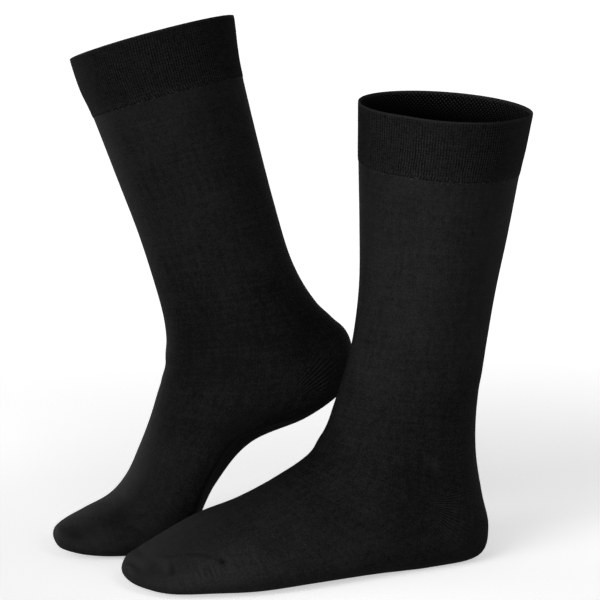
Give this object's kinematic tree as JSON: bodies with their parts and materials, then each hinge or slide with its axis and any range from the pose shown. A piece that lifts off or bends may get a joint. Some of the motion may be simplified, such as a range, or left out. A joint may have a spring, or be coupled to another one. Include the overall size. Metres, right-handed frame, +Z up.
{
  "type": "pair of socks",
  "caption": "Knitted crew socks, left and right, filled out as if worn but empty: ribbed welt cuff, plain leg, turned heel, foot and closed toe. One stands flat, the other on its toes.",
  "frame": {"origin": "middle of the pair's bounding box at the floor that both socks rest on", "axes": "+Z up, toes toward -X, the left sock on the -Y side and the right sock, heel raised, on the +Y side"},
  "size_m": [0.277, 0.2764, 0.3552],
  "materials": {
    "plain_knit": "fine matt jersey knit",
    "rib_knit": "fine matt rib knit"
  },
  "bodies": {
    "root": {"left_cuff": "rib_knit", "left_leg": "plain_knit", "left_heel": "plain_knit", "left_foot": "plain_knit", "left_toe": "plain_knit", "right_cuff": "rib_knit", "right_leg": "plain_knit", "right_heel": "plain_knit", "right_foot": "plain_knit", "right_toe": "plain_knit"}
  },
  "joints": []
}
